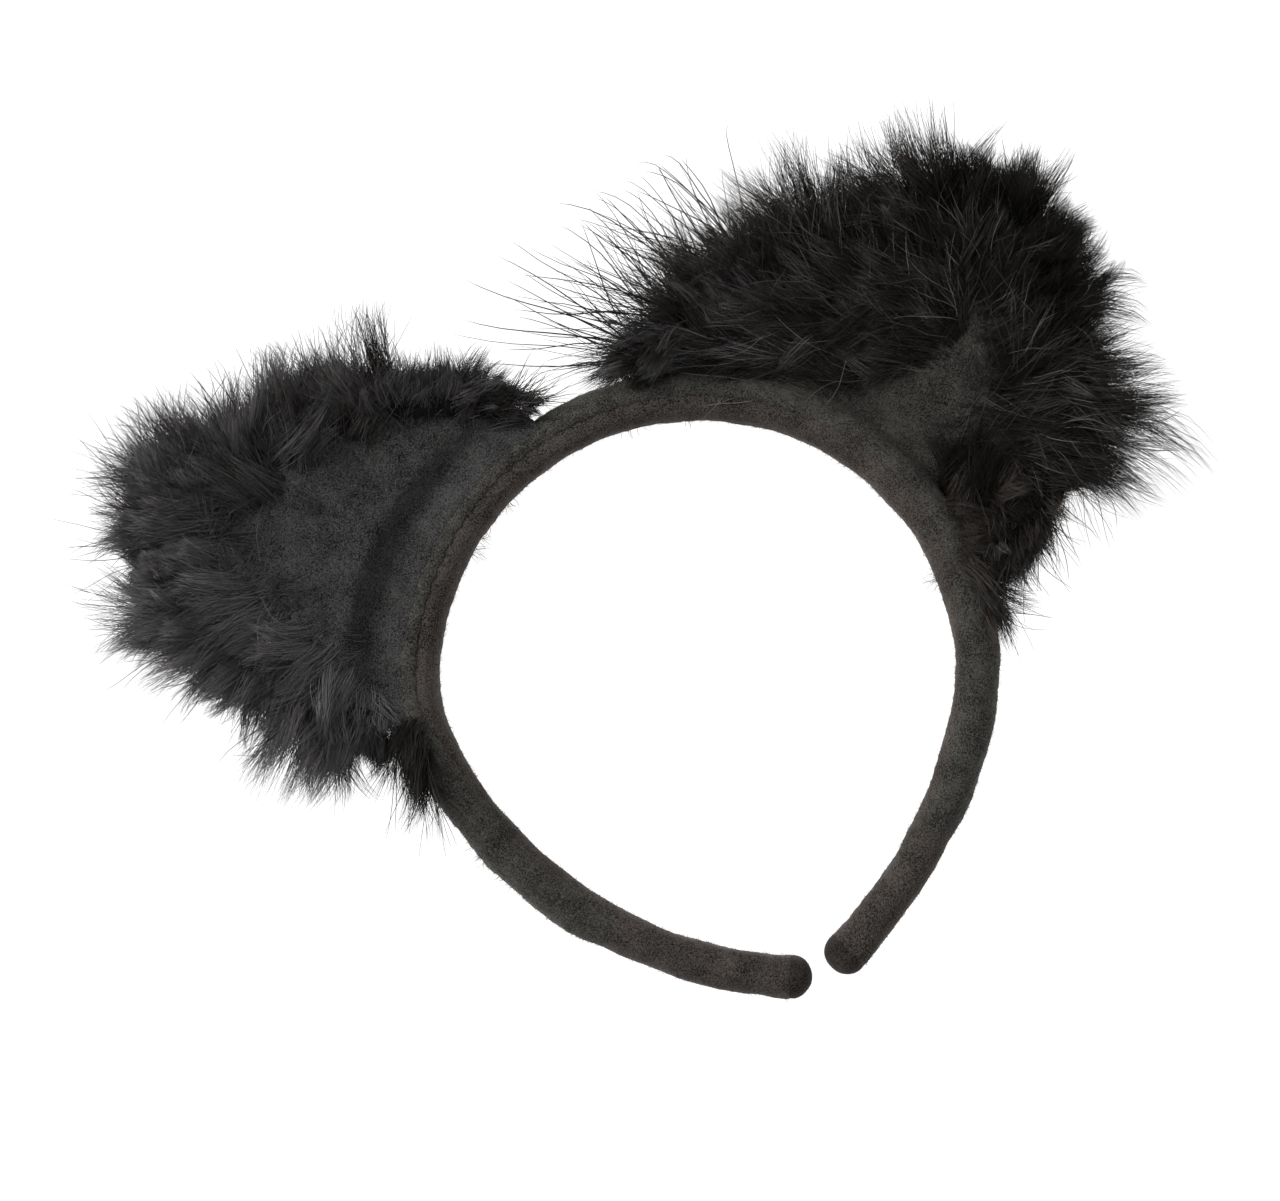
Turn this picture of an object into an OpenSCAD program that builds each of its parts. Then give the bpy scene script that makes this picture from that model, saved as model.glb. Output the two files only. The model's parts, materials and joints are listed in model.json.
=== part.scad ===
// Animal ears headband: a sprung, padded and cloth-covered band with two fur-trimmed felt ears.
// Worn frame: +Z up to the crown, the front of the ears faces -Y, the head fills the arch.
// The origin is the centre of the crown arc. Millimetres.

/* [Band] */
// Radius of the crown arc, at the band's centreline
crown_r = 68.6; // [66:0.2:72]
// Covered band, measured towards the head
sleeve_t = 10.4; // [9.6:0.2:11.2]
// Covered band, front to back
sleeve_w = 12; // [11:0.5:14]
// Cloth of the sleeve
sleeve_cloth = 1.2; // [0.8:0.1:1.4]
// Felt wrapped over the outside of the sleeve
wrap_felt = 1.1; // [0.6:0.1:1.2]
// How far the felt's two edges reach past the centreline, towards the head
wrap_reach = 1.6; // [0.5:0.1:3]
// Thickness of the sprung strip
strip_t = 2; // [1.6:0.1:2.4]
// Width of the sprung strip
strip_w = 8; // [7:0.5:8]

/* [Spring] */
// Half of the crown between the two side hinges, in degrees along the arc
crown_half = 6.5; // [6:0.5:7.5]
// Opening of each side at the crown, in degrees
side_open = 12; // [6:1:14]
// Opening of each arm below its ear, in degrees
arm_open = 18; // [9:1:20]

/* [Ears] */
// Felt of each ear panel
panel_felt = 1.2; // [1:0.1:1.5]
// Space between the two panels of an ear
panel_gap = 2.4; // [2.2:0.1:2.8]
// How far the rim of the left ear curls forward
left_cup = 4; // [1:0.5:5]
// How far the rim of the right ear curls forward
right_cup = 5; // [1:0.5:5]
// How far the left ear's fur reaches past its rim
left_pile = 15; // [12:0.5:16]
// How far the right ear's fur reaches past its rim
right_pile = 17; // [12:0.5:18]
// Thickness of the fur, as a share of twice its reach
pile_flatness = 0.74; // [0.7:0.02:0.9]
// Reach of the fur at an ear's feet, by the band
foot_pile = 5; // [4.8:0.1:5.4]
// Diameter of the wire in an ear's rim
wire_d = 1.4; // [1:0.1:1.6]

/* [Hidden] */
$fn = 64;
fit = 0.1;             // glue gap between layers
knuckle_play = 0.05;   // running clearance of a strip knuckle in its socket
slit = 0.1;            // degrees between the end faces of two hinged links
notch_spare = 1;       // degrees that a flex notch opens beyond the joint's travel
left_hinge = 90;       // arm hinges, as the angle of the band's outward direction from +Z
right_hinge = 96;
left_wrap_end = 129;   // where the felt wrap stops on each arm
right_wrap_end = 139;

// Each half of the band is a chain of tangent arcs: [centreline radius, end angle].
// The arcs meet where the sine and cosine are short decimals, so that their ends match exactly.
LEFT_ARCS = [[crown_r, atan2(0.936, 0.352)], [crown_r - 35, atan2(0.99712, -0.07584)], [crown_r + 35, 154.5]];
RIGHT_ARCS = [[crown_r, atan2(0.96, 0.28)], [crown_r - 3, atan2(0.8, -0.6)], [crown_r + 47, 157]];

// An ear is [arcs, base start, base end, tip (x, z), tip direction, inner handle, outer handle, cup, pile].
// The base angles are along the band, and the handles bow the two sides of the outline outwards.
LEFT_EAR = [LEFT_ARCS, 10, 82, [107, 87], 50, [16, 20], [28, 14], left_cup, left_pile];
RIGHT_EAR = [RIGHT_ARCS, 12, 91, [112, 76], 57, [20, 18], [34, 7], right_cup, right_pile];
TIP_ROUND = 18;        // length of the handles that round an ear's tip
FOOT = 0.07;           // share of an ear's height over which its panels spread to the band
FOOT_SPREAD = 2.6;     // how far each panel's foot spreads
FOOT_SINK = 0.6;       // how far each panel's foot sinks, to follow the round top of the wrap
PANEL_TOP = 0.993;     // share of an ear's height at which its panels stop, where their sides meet
PANEL_ROWS = 14;       // above the foot
PANEL_COLUMNS = 12;

section_corner = min(sleeve_t, sleeve_w) / 2 - 0.2;
ear_seat = sleeve_t / 2 + wrap_felt + 2 * fit;   // an ear's foot, outwards from the centreline

// ---- The band's line ----

function dir(a) = [sin(a), cos(a)];
function band_end(arcs) = arcs[len(arcs) - 1][1];
function arc_start(arcs, i) = i == 0 ? 0 : arcs[i - 1][1];
function arc_centre(arcs, i) =
    i == 0 ? [0, 0] : arc_centre(arcs, i - 1) + (arcs[i - 1][0] - arcs[i][0]) * dir(arc_start(arcs, i));
function arc_at(arcs, a, i = 0) =
    i == len(arcs) - 1 || a < arcs[i][1] ? i : arc_at(arcs, a, i + 1);
// The point at outward angle a, moved outwards from the centreline.
function band_point(arcs, a, out = 0) =
    let (i = arc_at(arcs, a)) arc_centre(arcs, i) + (arcs[i][0] + out) * dir(a);

// Sweeps a 2D section along the band. The section's x points outwards and its y to the front.
// An arc that follows another is swept from their meeting, so that the two ends match exactly.
module band_run(arcs, from, to) {
    for (i = [0:len(arcs) - 1]) {
        follows = i > 0 && from < arc_start(arcs, i);
        start = follows ? arc_start(arcs, i) : from;
        end = min(to, arcs[i][1]);
        centre = arc_centre(arcs, i);
        if (end > start)
            translate([centre.x, 0, centre.y])
                rotate([90, 0, 0])
                    rotate([0, 0, 90 - (follows ? start : end)])
                        rotate_extrude(angle = follows ? start - end : end - start)
                            translate([arcs[i][0], 0])
                                children();
    }
}

// The wedge that a hinged link loses outside the strip, so that it can open.
module flex_notch(arcs, a, open) {
    pivot = band_point(arcs, a);
    reach = 3 * sleeve_t;
    sides = [for (turn = [-notch_spare, open + notch_spare]) pivot + reach * dir(a + turn)];
    rotate([90, 0, 0])
        linear_extrude(4 * sleeve_w, center = true)
            polygon([pivot, each sides]);
}

module knuckle(arcs, a, r) {
    pivot = band_point(arcs, a);
    translate([pivot.x, 0, pivot.y])
        rotate([90, 0, 0])
            cylinder(r = r, h = strip_w, center = true);
}

// ---- Sections ----

module round_box(t, w, corner) {
    square([t - 2 * corner, w], center = true);
    square([t, w - 2 * corner], center = true);
    for (x = [-1, 1], y = [-1, 1])
        translate([x * (t / 2 - corner), y * (w / 2 - corner)])
            circle(corner);
}

module strip_section() {
    square([strip_t, strip_w], center = true);
}

// The section grown by an amount, as its padding, cloth and felt layers need.
module layer(grow) {
    round_box(sleeve_t + 2 * grow, sleeve_w + 2 * grow, section_corner + grow);
}

module padding_section() {
    difference() {
        layer(-sleeve_cloth - fit);
        square([strip_t + 2 * fit, strip_w + 2 * fit], center = true);
    }
}

module sleeve_section() {
    difference() {
        layer(0);
        layer(-sleeve_cloth);
    }
}

// The felt wrap is open towards the head, where the sleeve shows.
module wrap_section() {
    difference() {
        layer(fit + wrap_felt);
        layer(fit);
        translate([-sleeve_t - wrap_reach, -sleeve_w])
            square([sleeve_t, 2 * sleeve_w]);
    }
}

// ---- Strips, padding and cloth of one link ----

// A link's strip: a knuckle where it hangs on its parent, and a socket where it carries its child.
module link_strip(arcs, from, to, open, carries) {
    difference() {
        band_run(arcs, from + slit, to) strip_section();
        flex_notch(arcs, from, open);
        if (carries) knuckle(arcs, to, strip_t / 2 + knuckle_play);
    }
    knuckle(arcs, from, strip_t / 2);
}

module link_layer(arcs, from, to, open) {
    difference() {
        band_run(arcs, from + slit, to) children();
        flex_notch(arcs, from, open);
    }
}

module crown_run() {
    band_run(LEFT_ARCS, -crown_half, crown_half) children();
}

// The gathered and glued end of the sleeve, a little fuller than the band.
module tip_cap(arcs) {
    a = band_end(arcs);
    end = band_point(arcs, a) + fit * [cos(a), -sin(a)];
    translate([end.x, 0, end.y])
        rotate([0, a, 0])
            rotate([0, 0, -90])
                rotate_extrude(angle = 180)
                    intersection() {
                        rotate(90) layer(0.4);
                        translate([0, -sleeve_w]) square(2 * sleeve_w);
                    }
}

// ---- Ears ----

function bezier(p, s) =
    pow(1 - s, 3) * p[0] + 3 * s * pow(1 - s, 2) * p[1] + 3 * s * s * (1 - s) * p[2] + pow(s, 3) * p[3];
function mix(a, b, k) = a + (b - a) * k;

function tip_along(ear) = TIP_ROUND * [cos(ear[4]), -sin(ear[4])];
function inner_edge(ear) =
    let (foot = band_point(ear[0], ear[1], ear_seat)) [foot, foot + ear[5], ear[3] - tip_along(ear), ear[3]];
function outer_edge(ear) =
    let (foot = band_point(ear[0], ear[2], ear_seat)) [foot, foot + ear[6], ear[3] + tip_along(ear), ear[3]];

// A point of the ear's middle sheet: s runs from the band to the tip, and t from -1 (inner) to 1 (outer).
function ear_plan(ear, s, t) =
    let (k = (t + 1) / 2,
         p = inner_edge(ear),
         q = outer_edge(ear),
         base = band_point(ear[0], mix(ear[1], ear[2], k), ear_seat))
    mix(bezier(p, s), bezier(q, s), k) + pow(1 - s, 2) * (base - mix(p[0], q[0], k));
// Depth of the middle sheet: its sides curl to the front, and flatten again at the rim and the tip.
function ear_depth(ear, s, t) = -ear[7] * pow(sin(90 * t), 2) * sin(180 * min(1, s));

// A closed panel between two depths off the middle sheet. Its foot spreads over the band by spread.
// Its rows are closer together towards the tip.
module ear_panel(ear, front, back, spread) {
    ss = [0, for (i = [0:PANEL_ROWS]) mix(PANEL_TOP, FOOT, pow(1 - i / PANEL_ROWS, 2))];
    ts = [for (j = [0:PANEL_COLUMNS]) 2 * j / PANEL_COLUMNS - 1];
    n = len(ss);
    m = len(ts);
    points = [
        for (d = [front, back], s = ss, t = ts)
            let (foot = s == 0 ? 1 : 0,
                 p = ear_plan(ear, s, t) - FOOT_SINK * foot * dir(mix(ear[1], ear[2], (t + 1) / 2)))
            [p.x, ear_depth(ear, s, t) + d + spread * foot, p.y]
    ];
    k = n * m;
    faces = [
        for (i = [0:n - 2], j = [0:m - 2])
            let (a = i * m + j, b = a + 1, c = a + m + 1, d = a + m)
            each [[a, b, c], [a, c, d], [k + c, k + b, k + a], [k + d, k + c, k + a]],
        for (i = [0:n - 2])
            let (a = i * m, b = a + m, e = a + m - 1, f = b + m - 1)
            each [[a, b, k + b], [a, k + b, k + a], [f, e, k + e], [f, k + e, k + f]],
        for (j = [0:m - 2])
            let (a = j, b = j + 1, e = (n - 1) * m + j, f = e + 1)
            each [[b, a, k + a], [b, k + a, k + b], [e, f, k + f], [e, k + f, k + e]],
    ];
    polyhedron(points, faces);
}

// A point of the rim: q runs from 0 at the inner foot, over the tip at 0.5, to 1 at the outer foot.
function rim_s(q) = q < 0.5 ? 2 * q : 2 - 2 * q;
function rim_t(q) = q < 0.5 ? -1 : 1;
function rim_plan(ear, q) = bezier(q < 0.5 ? inner_edge(ear) : outer_edge(ear), rim_s(q));
function unit(v) = v / norm(v);
function rim_out(ear, q) =
    let (step = 0.004, along = unit(rim_plan(ear, q + step) - rim_plan(ear, q - step)))
    [-along.y, along.x];
function rim_point(ear, q, out, depth) =
    let (p = rim_plan(ear, q) + out * rim_out(ear, q))
    [p.x, ear_depth(ear, rim_s(q), rim_t(q)) + depth, p.y];

// Sweeps a C-section along the rim, between two lists of [outwards, depth] points of equal length.
// The outer list is scaled by the pair slim at both feet, and grows to its full size over SWELL.
SWELL = 0.3;           // share of an ear's height over which the fur swells to its full size
RIM_END = 0.04;        // how far along the rim the tape and the fur start, and stop short of its end
RIM_STEPS = 40;
module rim_channel(ear, outer, inner, slim = [1, 1]) {
    m = len(outer);
    points = [
        for (i = [0:RIM_STEPS])
            let (q = mix(RIM_END, 1 - RIM_END, i / RIM_STEPS),
                 k = mix(slim, [1, 1], min(1, (rim_s(q) - rim_s(RIM_END)) / SWELL)))
            each [
                for (p = outer) rim_point(ear, q, k.x * p.x, k.y * p.y),
                for (p = inner) rim_point(ear, q, p.x, p.y),
            ]
    ];
    w = 2 * m;
    loop = [for (j = [0:m - 1]) j, for (j = [0:m - 1]) w - 1 - j];
    faces = [
        for (j = [0:m - 2]) each [[j, j + 1, m + j + 1], [j, m + j + 1, m + j]],
        for (j = [0:m - 2])
            let (e = RIM_STEPS * w + j)
            each [[e, e + m + 1, e + 1], [e, e + m, e + m + 1]],
        for (i = [0:RIM_STEPS - 1], j = [0:w - 1])
            let (a = i * w + loop[j], b = i * w + loop[(j + 1) % w], c = b + w, d = a + w)
            each [[a, c, b], [a, d, c]],
    ];
    polyhedron(points, faces);
}

half_gap = panel_gap / 2;
half_ear = half_gap + panel_felt;
TAPE = 0.6;            // thickness of the tape under the fur
TAPE_REACH = 3.2;      // how far the tape reaches in over each panel
TAPE_CREST = 0.3;      // where the inside of the tape's fold stands, past the rim
tape_inside = half_ear + 0.75;       // clear of the panels, whose sides curl
tape_outside = tape_inside + TAPE;

module ear_front_panel(ear) {
    ear_panel(ear, -half_ear, -half_gap, -FOOT_SPREAD);
}

module ear_back_panel(ear) {
    ear_panel(ear, half_gap, half_ear, FOOT_SPREAD);
}

module ear_edge_wire(ear) {
    sides = 8;
    steps = 48;
    start = 0.03;      // along the rim
    inset = 2.5;       // in from the rim
    points = [
        for (i = [0:steps], j = [0:sides - 1])
            let (a = 360 * j / sides)
            rim_point(ear, mix(start, 1 - start, i / steps), wire_d / 2 * cos(a) - inset, wire_d / 2 * sin(a))
    ];
    faces = [
        [for (j = [0:sides - 1]) j],
        [for (j = [0:sides - 1]) steps * sides + sides - 1 - j],
        for (i = [0:steps - 1], j = [0:sides - 1])
            let (a = i * sides + j, b = i * sides + (j + 1) % sides, c = b + sides, d = a + sides)
            each [[a, c, b], [a, d, c]],
    ];
    polyhedron(points, faces);
}

// One face of the folded tape, as [outwards, depth] points from the front to the back.
function tape_fold(crest, depth) =
    [[-TAPE_REACH, -depth], [crest, -depth], [crest, depth], [-TAPE_REACH, depth]];

// The woven strip that the fur is made on, folded over the rim.
module ear_fur_tape(ear) {
    rim_channel(ear, tape_fold(TAPE_CREST + TAPE, tape_outside), tape_fold(TAPE_CREST, tape_inside));
}

// The body of the fur pile around the tape, slimmer at both feet. It is open over the tape's two edges.
module ear_fur(ear) {
    slot = tape_outside + fit;
    crest = TAPE_CREST + TAPE + fit;
    mouth = -2.2;      // where the slot's two sides end
    wrap_angle = 122;  // how far round the fur goes, to the front and to the back
    along_side = 4;    // steps along each side of the slot
    along_crest = 6;   // steps along its crest
    full = [ear[8], pile_flatness * ear[8]];
    steps = 2 * along_side + along_crest;
    rim_channel(
        ear,
        [
            for (i = [0:steps])
                let (a = wrap_angle * (2 * i / steps - 1))
                [full.x * cos(a), full.y * sin(a)]
        ],
        [
            for (i = [0:along_side]) [mix(mouth, crest, i / along_side), -slot],
            for (i = [1:along_crest - 1]) [crest, slot * (2 * i / along_crest - 1)],
            for (i = [0:along_side]) [mix(crest, mouth, i / along_side), slot],
        ],
        [foot_pile / full.x, foot_pile / full.y]
    );
}

// ---- Parts, by side ----

module place(side) {
    mirror([side == "left" ? 1 : 0, 0, 0]) children();
}

PLASTIC = "dimgray";
FOAM = "lightgray";
KNIT = "#2a2624";
FELT = "#2d2c2b";
FUR = "#1c1a19";

// The layers of one link, from its parent's hinge to its own end.
module link_part(arcs, from, to, wrap_to, open, carries, piece) {
    if (piece == "strip") color(PLASTIC) link_strip(arcs, from, to, open, carries);
    if (piece == "padding") color(FOAM) link_layer(arcs, from, to, open) padding_section();
    if (piece == "sleeve") color(KNIT) link_layer(arcs, from, to, open) sleeve_section();
    if (piece == "wrap") color(FELT) link_layer(arcs, from, wrap_to, open) wrap_section();
}

module ear_part(ear, piece) {
    if (piece == "front_panel") color(FELT) ear_front_panel(ear);
    if (piece == "back_panel") color(FELT) ear_back_panel(ear);
    if (piece == "edge_wire") color("silver") ear_edge_wire(ear);
    if (piece == "fur_tape") color(KNIT) ear_fur_tape(ear);
    if (piece == "fur") color(FUR) ear_fur(ear);
}

module side_part(side, group, piece) {
    arcs = side == "left" ? LEFT_ARCS : RIGHT_ARCS;
    hinge = side == "left" ? left_hinge : right_hinge;
    wrap_end = side == "left" ? left_wrap_end : right_wrap_end;
    place(side) {
        if (group == "side") link_part(arcs, crown_half, hinge, hinge, side_open, true, piece);
        if (group == "ear") ear_part(side == "left" ? LEFT_EAR : RIGHT_EAR, piece);
        if (group == "arm") link_part(arcs, hinge, band_end(arcs), wrap_end, arm_open, false, piece);
        if (group == "tip") color(KNIT) tip_cap(arcs);
    }
}

module crown_strip() {
    color(PLASTIC)
        difference() {
            crown_run() strip_section();
            for (side = ["left", "right"])
                place(side) knuckle(LEFT_ARCS, crown_half, strip_t / 2 + knuckle_play);
        }
}

module crown_padding() {
    color(FOAM) crown_run() padding_section();
}

module crown_sleeve() {
    color(KNIT) crown_run() sleeve_section();
}

module crown_wrap() {
    color(FELT) crown_run() wrap_section();
}

crown_strip();
crown_padding();
crown_sleeve();
crown_wrap();

PARTS = [
    ["side", ["strip", "padding", "sleeve", "wrap"]],
    ["ear", ["front_panel", "back_panel", "edge_wire", "fur_tape", "fur"]],
    ["arm", ["strip", "padding", "sleeve", "wrap"]],
    ["tip", ["cap"]],
];
for (side = ["left", "right"], part = PARTS, piece = part[1])
    side_part(side, part[0], piece);
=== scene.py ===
"""Looks of the animal ears headband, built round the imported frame.

Shapes are worked out in millimetres in the band's own plane, (x, z), with y as depth, and written to
meshes in metres. The fronts of the ears face -Y. Every random choice is seeded.
"""

import json
import math
from functools import partial

import bpy
import numpy as np
from mathutils import Matrix, Vector
from mathutils.kdtree import KDTree


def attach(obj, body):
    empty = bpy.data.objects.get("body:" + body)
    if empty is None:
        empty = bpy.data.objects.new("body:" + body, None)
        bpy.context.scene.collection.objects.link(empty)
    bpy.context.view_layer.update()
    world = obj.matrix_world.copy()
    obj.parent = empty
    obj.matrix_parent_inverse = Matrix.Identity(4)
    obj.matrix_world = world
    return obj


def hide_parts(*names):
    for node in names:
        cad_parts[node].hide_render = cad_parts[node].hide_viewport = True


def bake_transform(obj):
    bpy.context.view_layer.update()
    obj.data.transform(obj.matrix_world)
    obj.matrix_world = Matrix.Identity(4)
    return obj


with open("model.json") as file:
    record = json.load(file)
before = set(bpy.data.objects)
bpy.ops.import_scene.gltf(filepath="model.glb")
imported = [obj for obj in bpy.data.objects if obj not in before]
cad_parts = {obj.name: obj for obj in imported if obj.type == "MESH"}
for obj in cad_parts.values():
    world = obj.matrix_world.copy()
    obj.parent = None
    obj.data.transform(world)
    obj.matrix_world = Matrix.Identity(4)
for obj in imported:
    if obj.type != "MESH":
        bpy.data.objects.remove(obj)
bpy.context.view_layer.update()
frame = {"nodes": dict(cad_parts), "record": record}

MM = 0.001
CROWN_RADIUS = 68.6     # of the band's centreline
SIDE_HINGE = 6.5        # where each side hangs on the crown, in degrees along the band
SPLIT = 40              # where the upper and lower cloth pieces of a side meet
STATION = 0.8           # distance between the rings of the sleeve and the wrap
SEAT = 6.5              # foot of an ear, outwards from the centreline

# ---- The band's line, as in the CAD ----


def degrees_of(sine, cosine):
    return math.degrees(math.atan2(sine, cosine))


def outward(angle):
    """Unit vectors (x, z) at these outward angles, in degrees from +Z towards +X."""
    a = np.radians(np.asarray(angle, float))
    return np.stack([np.sin(a), np.cos(a)], -1)


def running(steps):
    """The sum of the steps up to each point."""
    return np.concatenate([[0], np.cumsum(steps)])


class Band:
    """One half of the band: a chain of tangent arcs from the crown, each (centreline radius, end angle).

    hinge is where the arm hangs and wrap_end where the wrap ends, both as outward angles.
    """

    def __init__(self, side, arcs, hinge, wrap_end):
        self.side = side
        self.name = "left" if side < 0 else "right"
        self.radii = np.array([r for r, _ in arcs])
        self.ends = np.array([e for _, e in arcs])
        centres = [np.zeros(2)]
        for i in range(1, len(arcs)):
            step = (self.radii[i - 1] - self.radii[i]) * outward(self.ends[i - 1])
            centres.append(centres[-1] + step)
        self.centres = np.array(centres)
        self.hinge = hinge
        self.wrap_end = wrap_end
        self.end = self.ends[-1]

    def arc(self, angle):
        return np.minimum(np.searchsorted(self.ends, angle), len(self.ends) - 1)

    def at(self, angle, out=0.0):
        """Points (x, z) at outward angles, moved out from the centreline, before mirroring."""
        angle = np.asarray(angle, float)
        i = self.arc(angle)
        return self.centres[i] + (self.radii[i] + out)[..., None] * outward(angle)

    def steps(self, start, end, count=2000):
        """This many angles from start to end, and the lengths of centreline between them, in mm."""
        fine = np.linspace(start, end, count)
        return fine, np.radians(np.diff(fine)) * self.radii[self.arc(fine[1:])]

    def stations(self, start, end):
        """Angles about STATION mm apart along the centreline, both ends included."""
        fine, steps = self.steps(start, end)
        way = running(steps)
        count = max(2, int(round(way[-1] / STATION)) + 1)
        return np.interp(np.linspace(0, way[-1], count), way, fine)

    def length(self, start, end):
        return float(np.sum(self.steps(start, end)[1]))

    def length_left(self, angle, end):
        """Length along the centreline from each angle to end, in mm."""
        fine, steps = self.steps(0, end, 4000)
        way = running(steps)
        return way[-1] - np.interp(angle, fine, way)

    def place(self, plan, depth):
        """(x, y, z) from plan (x, z) and depth y, mirrored to this side."""
        return np.stack([self.side * plan[..., 0], depth, plan[..., 1]], -1)


LEFT = Band(
    -1,
    [(CROWN_RADIUS, degrees_of(0.936, 0.352)), (33.6, degrees_of(0.99712, -0.07584)), (103.6, 154.5)],
    hinge=90,
    wrap_end=129,
)
RIGHT = Band(
    1,
    [(CROWN_RADIUS, degrees_of(0.96, 0.28)), (65.6, degrees_of(0.8, -0.6)), (115.6, 157.0)],
    hinge=96,
    wrap_end=139,
)

# ---- Small tools ----


def smooth(x, low, high):
    """0 below low, 1 above high, and a smooth step between."""
    k = np.clip((np.asarray(x, float) - low) / (high - low), 0, 1)
    return k * k * (3 - 2 * k)


def hump(x, centre, width):
    return np.exp(-(((np.asarray(x, float) - centre) / width) ** 2))


def mix(a, b, k):
    return a + (b - a) * k


def unit(v):
    return v / np.maximum(np.linalg.norm(v, axis=-1, keepdims=True), 1e-9)


def held(v, start, most):
    """v with whatever passes start drawn in, so that it stays below most. Works on both signs."""
    room = most - start
    over = np.maximum(np.abs(v) - start, 0)
    return np.sign(v) * (np.minimum(np.abs(v), start) + room * (1 - np.exp(-over / room)))


LUMP_WAVES = 14


def lumps(points, size, seed):
    """Smooth noise of about unit height over points (..., 3) in mm, with bumps of about this size."""
    rng = np.random.default_rng(seed)
    total = np.zeros(points.shape[:-1])
    for _ in range(LUMP_WAVES):
        wave = unit(rng.normal(size=3)) * rng.uniform(0.6, 1.7) * 2 * math.pi / (2.2 * size)
        total += np.sin(points @ wave + rng.uniform(0, 2 * math.pi))
    return total / math.sqrt(LUMP_WAVES / 2)


def gaps(grid, axis):
    """Distances between neighbours along one axis of a grid of points."""
    return np.linalg.norm(np.diff(grid, axis=axis), axis=-1)


def volume(points, faces):
    """Signed volume inside these faces, each cut into a fan."""
    total = 0.0
    for i in range(1, faces.shape[1] - 1):
        a, b, c = points[faces[:, 0]], points[faces[:, i]], points[faces[:, i + 1]]
        total += float(np.sum(a * np.cross(b, c)))
    return total


def add(name, data):
    obj = bpy.data.objects.new(name, data)
    bpy.context.collection.objects.link(obj)
    return obj


def mesh_object(name, points, quads, tris=None, sharp=60):
    """A smooth closed mesh from points in mm and index arrays of quads and triangles, facing outwards.

    Edges over sharp degrees are left hard.
    """
    mesh = bpy.data.meshes.new(name)
    faces = [f for f in (quads, tris) if f is not None and len(f)]
    points = np.asarray(points)
    if sum(volume(points, f) for f in faces) < 0:
        faces = [f[:, ::-1] for f in faces]
    sizes = np.concatenate([np.full(len(f), f.shape[1]) for f in faces])
    corners = np.concatenate([f.ravel() for f in faces])
    mesh.vertices.add(len(points))
    mesh.vertices.foreach_set("co", (points * MM).astype(np.float32).ravel())
    mesh.loops.add(len(corners))
    mesh.loops.foreach_set("vertex_index", corners.astype(np.int32))
    mesh.polygons.add(len(sizes))
    starts = np.concatenate([[0], np.cumsum(sizes)[:-1]])
    mesh.polygons.foreach_set("loop_start", starts.astype(np.int32))
    mesh.update(calc_edges=True)
    mesh.validate()
    mesh.polygons.foreach_set("use_smooth", np.ones(len(sizes), bool))
    if sharp:
        mesh.set_sharp_from_angle(angle=math.radians(sharp))
    return add(name, mesh)


def loop_faces(rows, count, first=0):
    """Quads between rows of count points, row after row, each a closed loop."""
    i = np.arange(rows - 1)[:, None] * count
    j = np.arange(count)[None, :]
    k = (j + 1) % count
    return (np.stack([i + j, i + k, i + count + k, i + count + j], -1) + first).reshape(-1, 4)


def tube_wall(name, outer, inner):
    """A closed wall between two tubes of rings (rows, count, 3)."""
    rows, count = outer.shape[:2]
    total = rows * count
    j = np.arange(count)
    k = (j + 1) % count
    last = (rows - 1) * count
    quads = np.concatenate([
        loop_faces(rows, count),
        loop_faces(rows, count, total)[:, ::-1],
        np.stack([k, j, j + total, k + total], -1),
        np.stack([j + last, k + last, k + last + total, j + last + total], -1),
    ])
    return mesh_object(name, np.concatenate([outer.reshape(-1, 3), inner.reshape(-1, 3)]), quads)


def solid_rows(name, rings):
    """A closed solid from rings (rows, count, 3), each a closed loop, capped by fans."""
    rows, count = rings.shape[:2]
    points = np.concatenate([rings.reshape(-1, 3), rings[0].mean(0)[None], rings[-1].mean(0)[None]])
    j = np.arange(count)
    k = (j + 1) % count
    first, last = rows * count, rows * count + 1
    tris = np.concatenate([
        np.stack([k, j, np.full(count, first)], -1),
        np.stack([j + (rows - 1) * count, k + (rows - 1) * count, np.full(count, last)], -1),
    ])
    return mesh_object(name, points, loop_faces(rows, count), tris)


def solid_between(name, outside, inside):
    """A closed solid between two grids (rows, columns, 3), joined at their edges."""
    return solid_rows(name, np.concatenate([outside, inside[:, ::-1]], axis=1))


# ---- Hairs ----

# Hairs are drawn in past the first distance from the middle, in mm, and stay within the second.
FRONT_ROOM = (19, 27.5)
BACK_ROOM = (13, 22.5)
SIDE_ROOM = (128, 142)
TOP_ROOM = (112, 124)


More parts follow.
